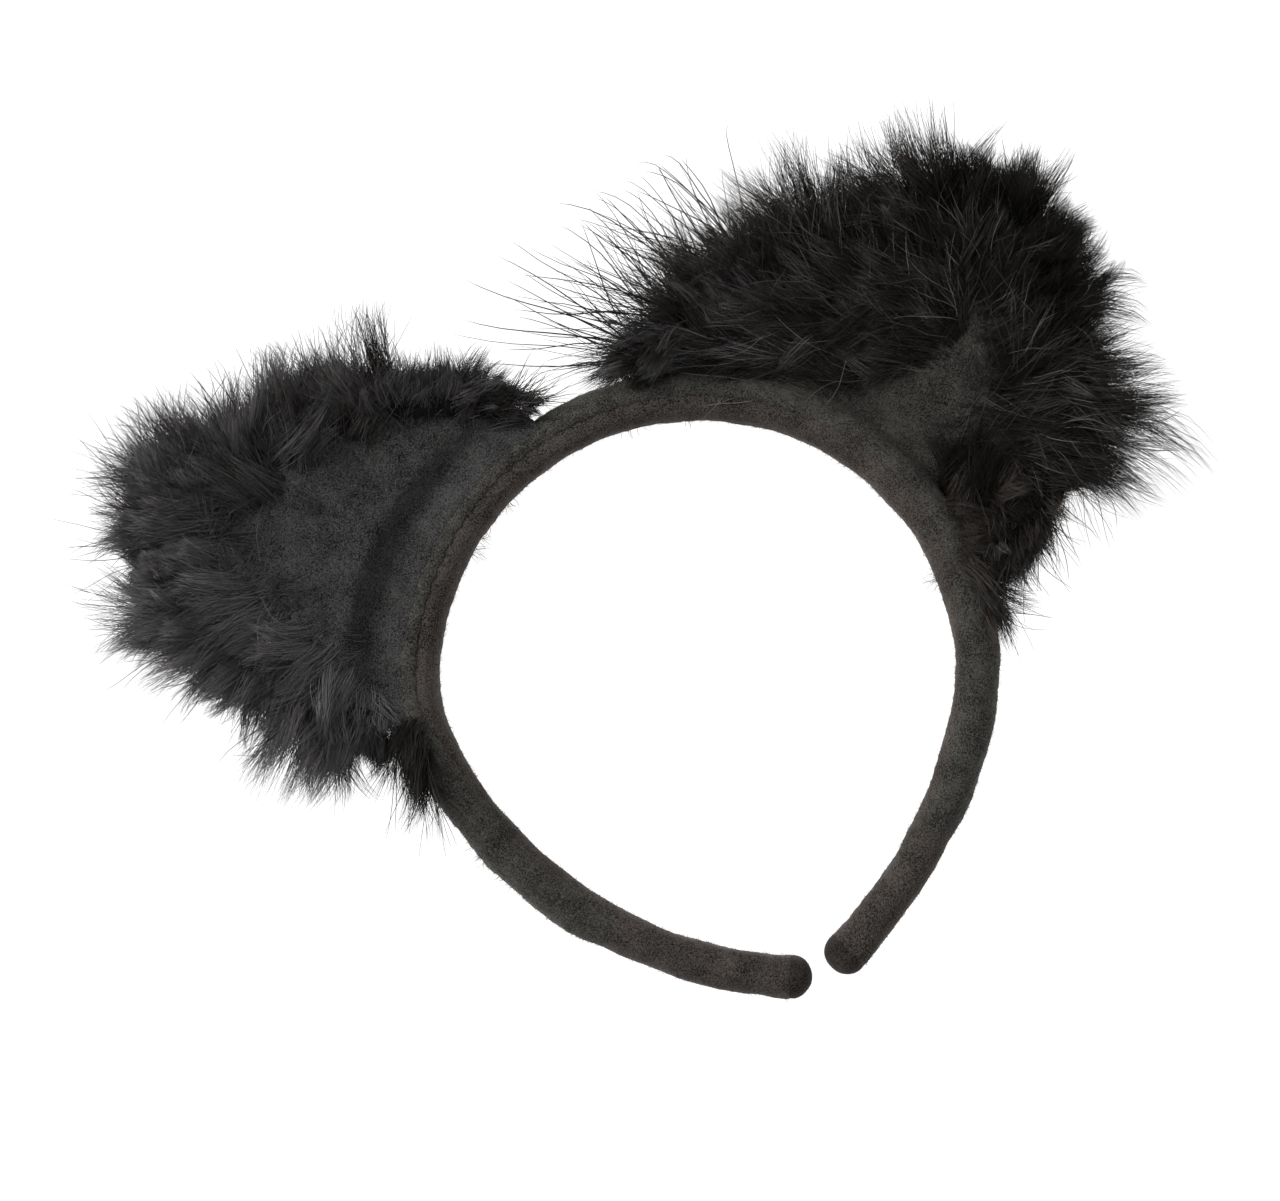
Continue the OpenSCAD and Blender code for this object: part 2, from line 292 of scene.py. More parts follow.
def hair_mesh(name, paths, radii):
    """Hairs as closed three-sided tubes, from paths (hairs, steps, 3) and radii (hairs, steps)."""
    n, steps = paths.shape[:2]
    x, y, z = paths[..., 0], paths[..., 1], paths[..., 2]
    y = np.where(y < 0, held(y, *FRONT_ROOM), held(y, *BACK_ROOM))
    paths = np.stack([held(x, *SIDE_ROOM), y, np.where(z > 0, held(z, *TOP_ROOM), z)], -1)
    along = unit(np.gradient(paths, axis=1))
    spare = np.where(np.abs(along[:, :1, 1:2]) > 0.8, [[[1.0, 0, 0]]], [[[0, 1.0, 0]]])
    side = unit(np.cross(along, spare))
    up = np.cross(side, along)
    rings = steps - 1
    turn = 2 * math.pi * np.arange(3) / 3
    around = side[:, :rings, None] * np.cos(turn)[:, None] + up[:, :rings, None] * np.sin(turn)[:, None]
    ring_points = paths[:, :rings, None] + radii[:, :rings, None, None] * around
    points = np.concatenate([ring_points.reshape(n, rings * 3, 3), paths[:, -1:]], axis=1)
    per = rings * 3 + 1
    base = (np.arange(n) * per)[:, None, None]
    quads = (loop_faces(rings, 3)[None] + base).reshape(-1, 4)
    tip, last = per - 1, (rings - 1) * 3
    ends = np.array([[2, 1, 0], [last, last + 1, tip], [last + 1, last + 2, tip], [last + 2, last, tip]])
    tris = (ends[None] + base).reshape(-1, 3)
    return mesh_object(name, points.reshape(-1, 3), quads, tris, sharp=None)


def segment_middles(steps):
    """Where the middles of a hair's segments are, from 0 at its root to 1 at its tip."""
    return (np.arange(steps - 1) + 0.5) / (steps - 1)


def grown(roots, ways, length):
    """Hairs from their roots, along a unit vector for each segment (hairs, segments, 3)."""
    reach = np.cumsum(ways, axis=1) * (length / ways.shape[1])[:, None, None]
    return np.concatenate([roots[:, None], roots[:, None] + reach], axis=1)


def hair_paths(roots, frames, heading, curl, lift, length, steps, wave=0.0, rng=None):
    """Curved hairs in a frame of unit vectors (outwards, along, depth), one frame for each hair.

    heading is the angle from outwards towards along, and turns by curl up to the tip. lift is a pair: the
    rise towards depth at the root and at the tip. wave is how far a hair sways. All are in radians.
    """
    out, along, depth = frames
    u = segment_middles(steps)[None]
    turn = heading[:, None] + curl[:, None] * u
    rise = mix(lift[0][:, None], lift[1][:, None], u ** 0.8)
    if wave:
        rate, phase = rng.uniform(0.6, 1.5, (2, len(roots), 1)) * 2 * math.pi
        turn = turn + wave * np.sin(rate * u + phase)
        rise = rise + 0.6 * wave * np.cos(0.8 * rate * u + phase)
    flat = np.cos(turn)[..., None] * out[:, None] + np.sin(turn)[..., None] * along[:, None]
    return grown(roots, np.cos(rise)[..., None] * flat + np.sin(rise)[..., None] * depth[:, None], length)


def straight_hairs(roots, start, end, length, steps):
    """Hairs that leave along start and turn towards end, both unit vectors."""
    u = segment_middles(steps)[None, :, None]
    return grown(roots, unit(mix(start[:, None], end[:, None], u)), length)


def taper(count, steps, base, rng):
    """Radii that start within a quarter of base and fall to a quarter of that, mostly near the tip."""
    u = np.linspace(0, 1, steps)
    return base * rng.uniform(0.75, 1.25, (count, 1)) * (1 - 0.75 * u ** 1.8)[None]


FIBRE_STEPS = 4
FIBRE_DEPTH = 0.1       # how far under the surface a felt fibre starts


def fuzz(name, points, normals, rng, length, radius, lie):
    """Short felt fibres on a surface, at these points in mm. lie is how flat they lie, from 0 to 1."""
    n = len(points)
    loose = unit(rng.normal(size=(n, 3)))
    flat = unit(loose - np.sum(loose * normals, -1, keepdims=True) * normals)
    start = unit(normals * (1 - lie) + flat * lie)
    end = unit(start + 0.9 * rng.normal(size=(n, 3)))
    lengths = length * np.minimum(rng.lognormal(0, 0.45, n), 2.6)
    paths = straight_hairs(points - FIBRE_DEPTH * normals, start, end, lengths, FIBRE_STEPS)
    return hair_mesh(name, paths, taper(n, FIBRE_STEPS, radius, rng))


def scatter(grid, normals, count, rng):
    """Random points and normals on a grid of rows and columns of surface points, even over its area."""
    a, b, c = grid[:-1, :-1], grid[1:, :-1], grid[:-1, 1:]
    size = np.linalg.norm(np.cross(b - a, c - a), axis=-1).ravel()
    pick = rng.choice(size.size, count, p=size / size.sum())
    i, j = np.unravel_index(pick, (grid.shape[0] - 1, grid.shape[1] - 1))
    u, v = rng.random((2, count, 1))

    def at(values):
        return (
            values[i, j] * (1 - u) * (1 - v) + values[i + 1, j] * u * (1 - v)
            + values[i, j + 1] * (1 - u) * v + values[i + 1, j + 1] * u * v
        )

    return at(grid), unit(at(normals))


def grid_normals(grid, toward):
    """Unit normals of a grid of points, turned to the side that the vectors toward point to."""
    n = unit(np.cross(np.gradient(grid, axis=0), np.gradient(grid, axis=1)))
    sign = np.sign(np.sum(n * toward, -1, keepdims=True))
    return n * np.where(sign == 0, 1, sign)


# ---- Materials ----


def material(name, colour, roughness=0.9, specular=0.25, sheen=0.0):
    m = bpy.data.materials.new(name)
    m.use_nodes = True
    p = m.node_tree.nodes["Principled BSDF"]
    p.inputs["Base Color"].default_value = (*colour, 1)
    p.inputs["Roughness"].default_value = roughness
    p.inputs["Specular IOR Level"].default_value = specular
    if sheen:
        p.inputs["Sheen Weight"].default_value = sheen
        p.inputs["Sheen Roughness"].default_value = 0.5
        p.inputs["Sheen Tint"].default_value = (*[min(1, c * 8) for c in colour], 1)
    return m


def noise_node(nodes, size, detail):
    """Noise with grains of about this size in mm."""
    node = nodes.new("ShaderNodeTexNoise")
    node.inputs["Scale"].default_value = 1 / (size * MM)
    node.inputs["Detail"].default_value = detail
    return node


def math_node(nodes, operation, factor):
    node = nodes.new("ShaderNodeMath")
    node.operation = operation
    node.inputs[1].default_value = factor
    return node


FELT_PATCH = 7.0        # size of a felt's soft patches
FELT_RELIEF = 0.3       # height of its raised grain
GRAIN_SHARE = 3.2       # how much more the grain shows than the patches
FELT_SPREAD = 0.38      # brings the sum of both within the ramp
FELT_RAMP = (0.62, 0.96)


def felt(name, dark, light, grain):
    """A brushed cloth: a fine grain and soft patches between two tones, with the grain raised."""
    m = material(name, light, roughness=0.95, specular=0.12, sheen=0.25)
    nodes, links = m.node_tree.nodes, m.node_tree.links
    where = nodes.new("ShaderNodeTexCoord")
    fine = noise_node(nodes, grain, 3)
    broad = noise_node(nodes, FELT_PATCH, 2)
    both = math_node(nodes, "MULTIPLY_ADD", GRAIN_SHARE)
    less = math_node(nodes, "MULTIPLY", FELT_SPREAD)
    tone = nodes.new("ShaderNodeValToRGB")
    for element, position, colour in zip(tone.color_ramp.elements, FELT_RAMP, (dark, light)):
        element.position = position
        element.color = (*colour, 1)
    raised = nodes.new("ShaderNodeBump")
    raised.inputs["Strength"].default_value = 0.35
    raised.inputs["Distance"].default_value = FELT_RELIEF * MM
    for texture in (fine, broad):
        links.new(where.outputs["Object"], texture.inputs["Vector"])
    links.new(fine.outputs["Fac"], both.inputs[0])
    links.new(broad.outputs["Fac"], both.inputs[2])
    links.new(both.outputs["Value"], less.inputs[0])
    links.new(less.outputs["Value"], tone.inputs["Fac"])
    links.new(fine.outputs["Fac"], raised.inputs["Height"])
    p = nodes["Principled BSDF"]
    links.new(tone.outputs["Color"], p.inputs["Base Color"])
    links.new(raised.outputs["Normal"], p.inputs["Normal"])
    return m


# Cloths as dark tone, light tone and grain, and the rest as colour, roughness and specular.
MATERIALS = {
    # The sleeve's knit is brownish, and its light tone is raised further as painted light for light falling
    # on it from the front and below.
    "sleeve": felt("sleeve_knit", (0.003, 0.0025, 0.0022), (0.066, 0.057, 0.051), 0.35),
    "tip": felt("tip_knit", (0.004, 0.0033, 0.003), (0.036, 0.030, 0.027), 0.42),
    # The wrap's felt is lighter than the ears' felt: painted light that lifts the shade the fur casts on the
    # crown.
    "wrap": felt("wrap_felt", (0.002, 0.0019, 0.0017), (0.060, 0.058, 0.052), 0.35),
    "left_face": felt("left_ear_felt", (0.0005, 0.0005, 0.0005), (0.0485, 0.047, 0.0465), 0.35),
    "right_face": felt("right_ear_felt", (0.0005, 0.0005, 0.0004), (0.0475, 0.046, 0.041), 0.35),
    "ear_back": felt("ear_back_felt", (0.004, 0.0039, 0.0039), (0.033, 0.032, 0.032), 0.42),
    "fuzz": material("felt_fibres", (0.022, 0.021, 0.020), 0.7, 0.2),
    "fuzz_light": material("felt_fibres_light", (0.12, 0.115, 0.105), 0.6, 0.3),
    "underfur": material("underfur", (0.003, 0.0028, 0.0025), 0.9, 0.1),
    "black": material("fur_black", (0.0048, 0.0042, 0.0033), 0.5, 0.12),
    "dark": material("fur_dark", (0.0115, 0.0103, 0.0086), 0.45, 0.2),
    "mid": material("fur_mid", (0.024, 0.023, 0.0225), 0.45, 0.3),
    "grey": material("fur_grey", (0.050, 0.0475, 0.048), 0.45, 0.35),
    "pale": material("fur_pale", (0.088, 0.0845, 0.085), 0.45, 0.35),
    "light": material("fur_light", (0.098, 0.094, 0.093), 0.45, 0.4),
    "brown": material("fur_brown", (0.036, 0.027, 0.0225), 0.45, 0.3),
    "guard": material("guard_hair", (0.014, 0.012, 0.011), 0.4, 0.35),
    # Pale guard hairs, lighter than any fur tone: partly real pale hairs, partly painted glints on the fur.
    "guard_pale_and_glint": material("guard_hair_light", (0.15, 0.145, 0.14), 0.35, 0.5),
    "strip": material("strip_plastic", (0.05, 0.05, 0.052), 0.45, 0.5),
    "foam": material("padding_foam", (0.55, 0.54, 0.50), 1.0, 0.1),
    "wire": material("rim_wire", (0.03, 0.03, 0.03), 0.5, 0.3),
    "tape": material("woven_tape", (0.006, 0.006, 0.006), 0.95, 0.1),
}


def wear(obj, key, slot=None):
    obj.data.materials.clear()
    obj.data.materials.append(MATERIALS[key])
    return obj


# ---- Sleeve and wrap ----

SECTION_TURNS = np.linspace(0, 2 * math.pi, 56, endpoint=False)
SECTION_POWER = 2.3     # how square the band's rounded section is
HALF_OUT = 5.2          # half of the sleeve's size outwards
HALF_DEEP = 6.0         # and in depth
SLEEVE_T = 0.9
SLIM_OUT = 0.6          # how much of each is lost at a thinning of 1
SLIM_DEEP = 0.4
SLIM_SHIFT = 0.8        # and how far the section moves inwards
CREASE = 0.025          # share of the sleeve's depth that the wrap's edge presses in
WRAP_T = 1.1
WRAP_GAP = 0.05         # between the sleeve and the wrap
WRAP_COLUMNS = 44
WRAP_FACE = 6           # how far out from the centreline the wrap's length is taken


def section(turn, half_out, half_deep):
    """A rounded-square section: (outwards, depth) at these turns, where turn 0 points outwards."""
    c, s = np.cos(turn), np.sin(turn)
    e = 2 / SECTION_POWER
    return half_out * np.sign(c) * np.abs(c) ** e, -half_deep * np.sign(s) * np.abs(s) ** e


def section_points(band, angle, out, deep):
    """Points of the sections at these angles of the band, from outwards and depth (angles, turns)."""
    plan = band.at(angle[:, None] + 0 * out) + out[..., None] * outward(angle)[:, None]
    return band.place(plan, deep)


def thinning(band, angle):
    """How much the band thins below its ears. The right arm is slimmer than the left."""
    return smooth(angle, 96, 116) * (1 - smooth(angle, 150, 157)) * (0.5 if band is RIGHT else 0.15)


def wrap_reach(band, angle):
    """How far the wrap's edges reach past the centreline: further on the arms than over the crown."""
    ragged = 0.22 * np.sin(angle * 1.7 + band.side) + 0.14 * np.sin(angle * 4.9)
    return mix(-0.7, 3.6, smooth(angle, 70, 108)) + ragged


def wide_lumps(points):
    """The sleeve's wide lumps in mm. The wrap has them too, so that the sleeve doesn't come through it."""
    return 0.16 * lumps(points, 7, 3)


def sleeve_rings(band, angle, grow):
    """Rings of the sleeve's lumpy outside, or with grow below 0 of its plain inside."""
    slim = thinning(band, angle)[:, None]
    out, deep = section(SECTION_TURNS, HALF_OUT - SLIM_OUT * slim + grow, HALF_DEEP - SLIM_DEEP * slim + grow)
    out = out - SLIM_SHIFT * slim
    if grow < 0:
        return section_points(band, angle, out, deep)
    crease = hump(out + wrap_reach(band, angle)[:, None], 0, 1.9) * (angle < band.wrap_end)[:, None]
    points = section_points(band, angle, out, deep * (1 - CREASE * crease))
    away = unit(points - band.place(band.at(angle), np.zeros(len(angle)))[:, None])
    return points + away * (wide_lumps(points) + 0.05 * lumps(points, 1.6, 4))[..., None]


def make_sleeve(band, name, start, end):
    """A sleeve and its outside."""
    angle = band.stations(start, end)
    outer = sleeve_rings(band, angle, 0)
    inner = sleeve_rings(band, angle, -SLEEVE_T)
    return wear(tube_wall(name, outer, inner), "sleeve", "sleeve_knit"), outer


def wrap_grids(band, angle):
    """The wrap's outside and inside as rows along the band and columns round its C, edge to edge."""
    slim = thinning(band, angle)[:, None]
    half_out = HALF_OUT + WRAP_GAP - SLIM_OUT * slim
    half_deep = HALF_DEEP + WRAP_GAP - SLIM_DEEP * slim
    # The turn at which the section stands as far towards the head as the wrap reaches.
    share = (wrap_reach(band, angle)[:, None] - SLIM_SHIFT * slim) / half_out
    edge = np.arccos(-np.sign(share) * np.abs(share) ** (SECTION_POWER / 2))
    way = np.linspace(-1, 1, WRAP_COLUMNS)[None]
    out, deep = section(way * edge, half_out, half_deep)
    length = np.hypot(out, deep)

    def stood_off(grow):
        return section_points(
            band, angle, out * (1 + grow / length) - SLIM_SHIFT * slim, deep * (1 + grow / length)
        )

    # It thins out at its two edges and towards its ragged end.
    ragged = 1.5 * np.sin(5 * way + 1) + 0.8 * np.sin(13 * way)
    left = band.length_left(angle, band.wrap_end)[:, None] + ragged
    edges = (1 - 0.35 * slim) * (1 - 0.85 * np.abs(way) ** 5)
    thin = WRAP_T * edges * mix(0.05, 1, smooth(left, 0, 11))
    outside, inside = stood_off(thin), stood_off(0.02)
    away = unit(outside - inside)
    wide = wide_lumps(inside)
    fine = 0.10 * lumps(outside, 1.8, 6) * np.minimum(thin, 0.8) * (1 - np.abs(way) ** 12)
    return outside + away * (wide + fine)[..., None], inside + away * (wide - 0.1)[..., None]


def make_wrap(band, name, start, end):
    """A wrap and its outside."""
    angle = band.stations(start, end)
    outside, inside = wrap_grids(band, angle)
    obj = wear(solid_between(name, outside, inside), "wrap", "wrap_felt")
    along = band.length(start, end) * (1 + WRAP_FACE / CROWN_RADIUS) * MM
    return obj, outside


def surface_area(grid):
    """Area of a grid of points in mm2, with each quad as two triangles."""
    a, b, c, d = grid[:-1, :-1], grid[1:, :-1], grid[:-1, 1:], grid[1:, 1:]
    one = np.linalg.norm(np.cross(b - a, c - a), axis=-1)
    two = np.linalg.norm(np.cross(b - d, c - d), axis=-1)
    return float((one.sum() + two.sum()) / 2)


def band_fuzz(name, sleeve, wrap, rng):
    """Fibres on the sleeve and the wrap of one run: a dense coat, and a few light ones over it."""
    coats = []
    for tone, share, length in (("fuzz", 1.0, 1.0), ("fuzz_light", 0.3, 0.8)):
        spots, facings = [], []
        for grid, per_mm2 in ((sleeve, 1.0), (wrap, 1.7)):
            normals = grid_normals(grid, grid - grid.mean(1, keepdims=True))
            p, n = scatter(grid, normals, int(surface_area(grid) * per_mm2 * share), rng)
            spots.append(p)
            facings.append(n)
        obj = fuzz(f"{name}_{tone}", np.concatenate(spots), np.concatenate(facings), rng, length, 0.04, 0.72)
        coats.append(wear(obj, tone, "wrap_felt"))
    return coats


# How far to each side of a hinge the cloth would bend, in mm. blend_over works these out but bends nothing.
SIDE_BEND = 5.5
ARM_BEND = 8.0


def blend_over(obj, band, joint):
    """Bakes obj's placement into its mesh. It works out the side hinge at the crown or the arm hinge below
    the ear, but bends nothing.
    """
    if joint == "side":
        centre, a, b, bend = SIDE_HINGE, "crown", band.name + "_side", SIDE_BEND
    else:
        centre, a, b, bend = band.hinge, band.name + "_side", band.name + "_arm", ARM_BEND
    here = band.place(band.at(centre), np.array(0.0))
    step = band.place(outward(centre + 90), np.array(0.0)) * bend
    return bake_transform(obj)


def make_band(band):
    """One half of the band: its cloth in two runs, which meet at SPLIT, then its tip and its wisps."""
    rng = np.random.default_rng(20 + band.side)
    side, arm = band.name + "_side", band.name + "_arm"
    for run, joint, a, b, start, sleeve_end, wrap_end in (
        ("upper", "side", "crown", side, 0, SPLIT, SPLIT),
        ("lower", "arm", side, arm, SPLIT, band.end, band.wrap_end),
    ):
        name = f"{band.name}_{run}"
        sleeve, grid = make_sleeve(band, name + "_sleeve", start, sleeve_end)
        wrap, wrap_grid = make_wrap(band, name + "_wrap", start, wrap_end)
        coats = band_fuzz(name, grid, wrap_grid, rng)
        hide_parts(a + "_sleeve", b + "_sleeve")
        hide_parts(a + "_wrap", b + "_wrap")
        for obj in (sleeve, wrap, *coats):
            blend_over(obj, band, joint)
    make_tip(band, rng)
    make_wisps(band, rng)


TIP_REACH = 5.6         # how far the round end stands past the end of the sleeve


def make_tip(band, rng):
    """The gathered end of the sleeve: a slightly full round end."""
    way = np.linspace(0, math.pi / 2, 14)[:-1]
    along = outward(band.end + 90)
    slim = float(thinning(band, np.array([band.end]))[0])
    rings = []
    for w in np.concatenate([[-0.06], way]):
        shrink = math.cos(max(w, 0)) ** 0.85
        full = 1 + 0.05 * math.sin(2 * max(w, 0) + 0.5)
        size = shrink * full
        out, deep = section(SECTION_TURNS, (HALF_OUT - SLIM_OUT * slim) * size, HALF_DEEP * size)
        out = out - SLIM_SHIFT * slim
        plan = band.at(band.end) + out[:, None] * outward(band.end) + along * TIP_REACH * math.sin(w)
        rings.append(band.place(plan, deep))
    rings = np.array(rings)
    centre = rings[0].mean(0)
    rings = rings + unit(rings - centre) * (0.10 * lumps(rings, 4, 8))[..., None]
    obj = wear(solid_rows(band.name + "_tip_cap_cloth", rings), "tip", "sleeve_knit")
    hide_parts(band.name + "_tip_cap")
    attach(obj, band.name + "_arm")
    spots, facings = scatter(rings, unit(rings - centre), int(surface_area(rings) * 0.5), rng)
    fibres = fuzz(band.name + "_tip_fuzz", spots, facings, rng, length=0.8, radius=0.035, lie=0.75)
    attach(wear(fibres, "fuzz", "wrap_felt"), band.name + "_arm")


# ---- Ears ----


def from_foot(q):
    """s at places q of the rim: 0 at both feet, 1 at the tip."""
    return np.where(q < 0.5, 2 * q, 2 - 2 * q)


class Ear:
    """An ear's outline and middle sheet, as in the CAD, with s from the band to the tip and t across.

    base is the outward angles of its two feet on the band, and the handles are those of its two edges there.
    """

    TIP_ROUND = 18

    def __init__(self, band, base, tip, tip_angle, inner_handle, outer_handle, cup):
        self.band = band
        self.name = band.name + "_ear"
        self.body = band.name + "_side"
        self.base = base
        self.cup = cup
        tip = np.array(tip, float)
        along = self.TIP_ROUND * outward(tip_angle + 90)
        feet = [band.at(a, SEAT) for a in base]
        self.inner = [feet[0], feet[0] + inner_handle, tip - along, tip]
        self.outer = [feet[1], feet[1] + outer_handle, tip + along, tip]

    @staticmethod
    def bezier(p, s):
        s = np.asarray(s, float)[..., None]
        return (1 - s) ** 3 * p[0] + 3 * s * (1 - s) ** 2 * p[1] + 3 * s * s * (1 - s) * p[2] + s ** 3 * p[3]

    def plan(self, s, t):
        s, t = np.broadcast_arrays(np.asarray(s, float), np.asarray(t, float))
        k = (t + 1) / 2
        p, q = self.bezier(self.inner, s), self.bezier(self.outer, s)
        chord = mix(self.inner[0], self.outer[0], k[..., None])
        base = self.band.at(mix(self.base[0], self.base[1], k), SEAT)
        return mix(p, q, k[..., None]) + ((1 - s) ** 2)[..., None] * (base - chord)

    def depth(self, s, t):
        return -self.cup * np.sin(np.pi / 2 * t) ** 2 * np.sin(np.pi * np.clip(s, 0, 1))

    def rim(self, q):
        """(plan, outward, along, depth) of the rim, whose q is 0 at the inner foot, 0.5 at the tip and 1
        at the outer foot.
        """
        q = np.asarray(q, float)
        step = 0.004

        def line(q):
            first = (q < 0.5)[..., None]
            return np.where(first, self.bezier(self.inner, 2 * q), self.bezier(self.outer, 2 - 2 * q))

        along = unit(line(np.clip(q + step, 0, 1)) - line(np.clip(q - step, 0, 1)))
        out = np.stack([-along[..., 1], along[..., 0]], -1)
        s = from_foot(q)
        return line(q), out, along, self.depth(s, np.ones_like(s))


LEFT_EAR = Ear(LEFT, (10, 82), (107, 87), 50, (16, 20), (28, 14), 4)
RIGHT_EAR = Ear(RIGHT, (12, 91), (112, 76), 57, (20, 18), (34, 7), 5)
PANEL_T = 1.2
FRONT_STAND = 2.2       # how far the front felt's outside stands from the middle sheet
BACK_STAND = 2.3
FACE_COLUMNS = 71
FACE_ROWS = 96
FLAP_ROWS = 8
NEAREST_TIP = 0.9985    # s of the last row, before the steps are made uneven

# How each ear's felt meets the band: where the flap starts, how fast it falls into the hollow beyond, the
# hollow's place and depth, and how full the face rises over how far. All in mm.
FACE = {
    "left_ear": {"flap": 3.8, "fall": 4.6, "hollow": 12.0, "deep": 1.3, "full": 4.9, "rise": 6.5},
    "right_ear": {"flap": 5.4, "fall": 1.2, "hollow": 8.0, "deep": 1.3, "full": 3.2, "rise": 6.5},
}


def wrap_surface(out):
    """Depth of the wrap's outside at this distance out from the centreline."""
    k = np.clip(np.asarray(out, float) / (HALF_OUT + WRAP_T), 0, 1) ** SECTION_POWER
    return (HALF_DEEP + WRAP_T) * (1 - k) ** (1 / SECTION_POWER)


def face_grid(ear, front):
    """A panel's outside: rows from its flap on the band to the tip, columns across."""
    shape = FACE[ear.name]
    t = np.linspace(-1, 1, FACE_COLUMNS)[None]
    flap = np.linspace(shape["flap"], SEAT, FLAP_ROWS)[:-1, None]
    s = 1 - (1 - np.linspace(0, NEAREST_TIP, FACE_ROWS)[:, None]) ** 1.6
    a = mix(ear.base[0], ear.base[1], (t + 1) / 2)
    low = ear.band.at(a + 0 * flap, 0) + flap[..., None] * outward(a)
    plan = np.concatenate([low, ear.plan(s, t)])
    rise = SEAT + np.concatenate([0 * t, np.cumsum(gaps(ear.plan(s, t), 0), axis=0)])
    height = np.concatenate([flap + 0 * t, rise])
    sheet = np.concatenate([0 * flap * t, ear.depth(s, t)])
    # The felt leaves the band at the face of its wrap, and falls to the hollow.
    lowest = wrap_surface(shape["flap"])
    drop = np.exp(-(np.maximum(height - shape["flap"], 0) / shape["fall"]) ** 1.6)
    inside = 1 - np.abs(t) ** 3
    middle = hump(t, 0.05, 0.62)
    filled = smooth(height, shape["hollow"] + 1, shape["hollow"] + shape["rise"])
    hollow = shape["deep"] * middle * (1 - filled)
    foot = (lowest - BACK_STAND) * drop - hollow * (1 - drop)
    near_tip = np.concatenate([0 * flap, 1 - smooth(s, 0.6, 0.97)])
    rise = smooth(height, shape["hollow"], shape["hollow"] + shape["rise"])
    puff = shape["full"] * rise * inside * near_tip * mix(0.55, 1, middle)
    if front:
        deep = sheet - FRONT_STAND - foot - puff
    else:
        deep = sheet + BACK_STAND + foot * 0.95 + puff * 0.3
    points = ear.band.place(plan, deep)
    ripple = 0.42 * lumps(points, 12, 31) + 0.16 * lumps(points, 3.4, 32) + 0.05 * lumps(points, 1.3, 33)
    points[..., 1] += ripple * (mix(0.3, 1, inside) * smooth(height, 4, 9))
    return points


def make_panel(ear, front, rng):
    """One ear's front or back felt, and two coats of fibres on it."""
    which = "front" if front else "back"
    slot = f"ear_felt_{which}"
    grid = face_grid(ear, front)
    back = grid + np.array([0, PANEL_T if front else -PANEL_T, 0])
    obj = solid_between(f"{ear.name}_{which}_felt", grid, back)
    wear(obj, ear.band.name + "_face" if front else "ear_back", slot)
    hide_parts(f"{ear.name}_{which}_panel")
    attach(obj, ear.body)
    normals = grid_normals(grid, np.array([0, -1.0 if front else 1.0, 0]) + 0 * grid)
    count = int(surface_area(grid) * (2.2 if front else 0.9))
    for tone, many, length, radius, lie in (
        ("fuzz", count, 1.1, 0.045, 0.82),
        ("fuzz_light", count // (2 if front else 3), 1.2, 0.035, 0.88),
    ):
        spots, facings = scatter(grid, normals, many, rng)
        fibres = fuzz(f"{ear.name}_{which}_{tone}", spots, facings, rng, length, radius, lie)
        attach(wear(fibres, tone, slot), ear.body)


# The channel in the underfur that the tape lies in: half its width, and how far out its floor is.
CHANNEL_HALF = 3.85
CHANNEL_OUT = 1.1
FAR = 99


def make_underfur(ear):
    """The dense base of the fur: a lumpy channel round the rim, over the tape."""
    q = np.linspace(0.035, 0.965, 150)
    plan, out, _, depth = ear.rim(q)
    turn = np.radians(np.linspace(-124, 124, 30))[None]
    size = 5.2 - 0.9 * (1 - smooth(from_foot(q)[:, None], 0.07, 0.3))
    to_side = CHANNEL_HALF / np.abs(np.sin(turn) + 1e-6)
    to_floor = np.where(np.cos(turn) > 0, CHANNEL_OUT / np.maximum(np.cos(turn), 1e-3), FAR)
    grids = []
    for radius in (size + 0 * turn, np.minimum(to_side, to_floor) + 0 * size):
        across = (radius * np.cos(turn))[..., None] * out[:, None]
        grids.append(ear.band.place(plan[:, None] + across, depth[:, None] + radius * np.sin(turn)))
    outer, inner = grids
    outer = outer + unit(outer - outer.mean(1, keepdims=True)) * (0.45 * lumps(outer, 2.4, 41))[..., None]
    obj = wear(solid_between(ear.name + "_underfur", outer, inner), "underfur", "long_fur")
    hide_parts(ear.name + "_fur")
    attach(obj, ear.body)


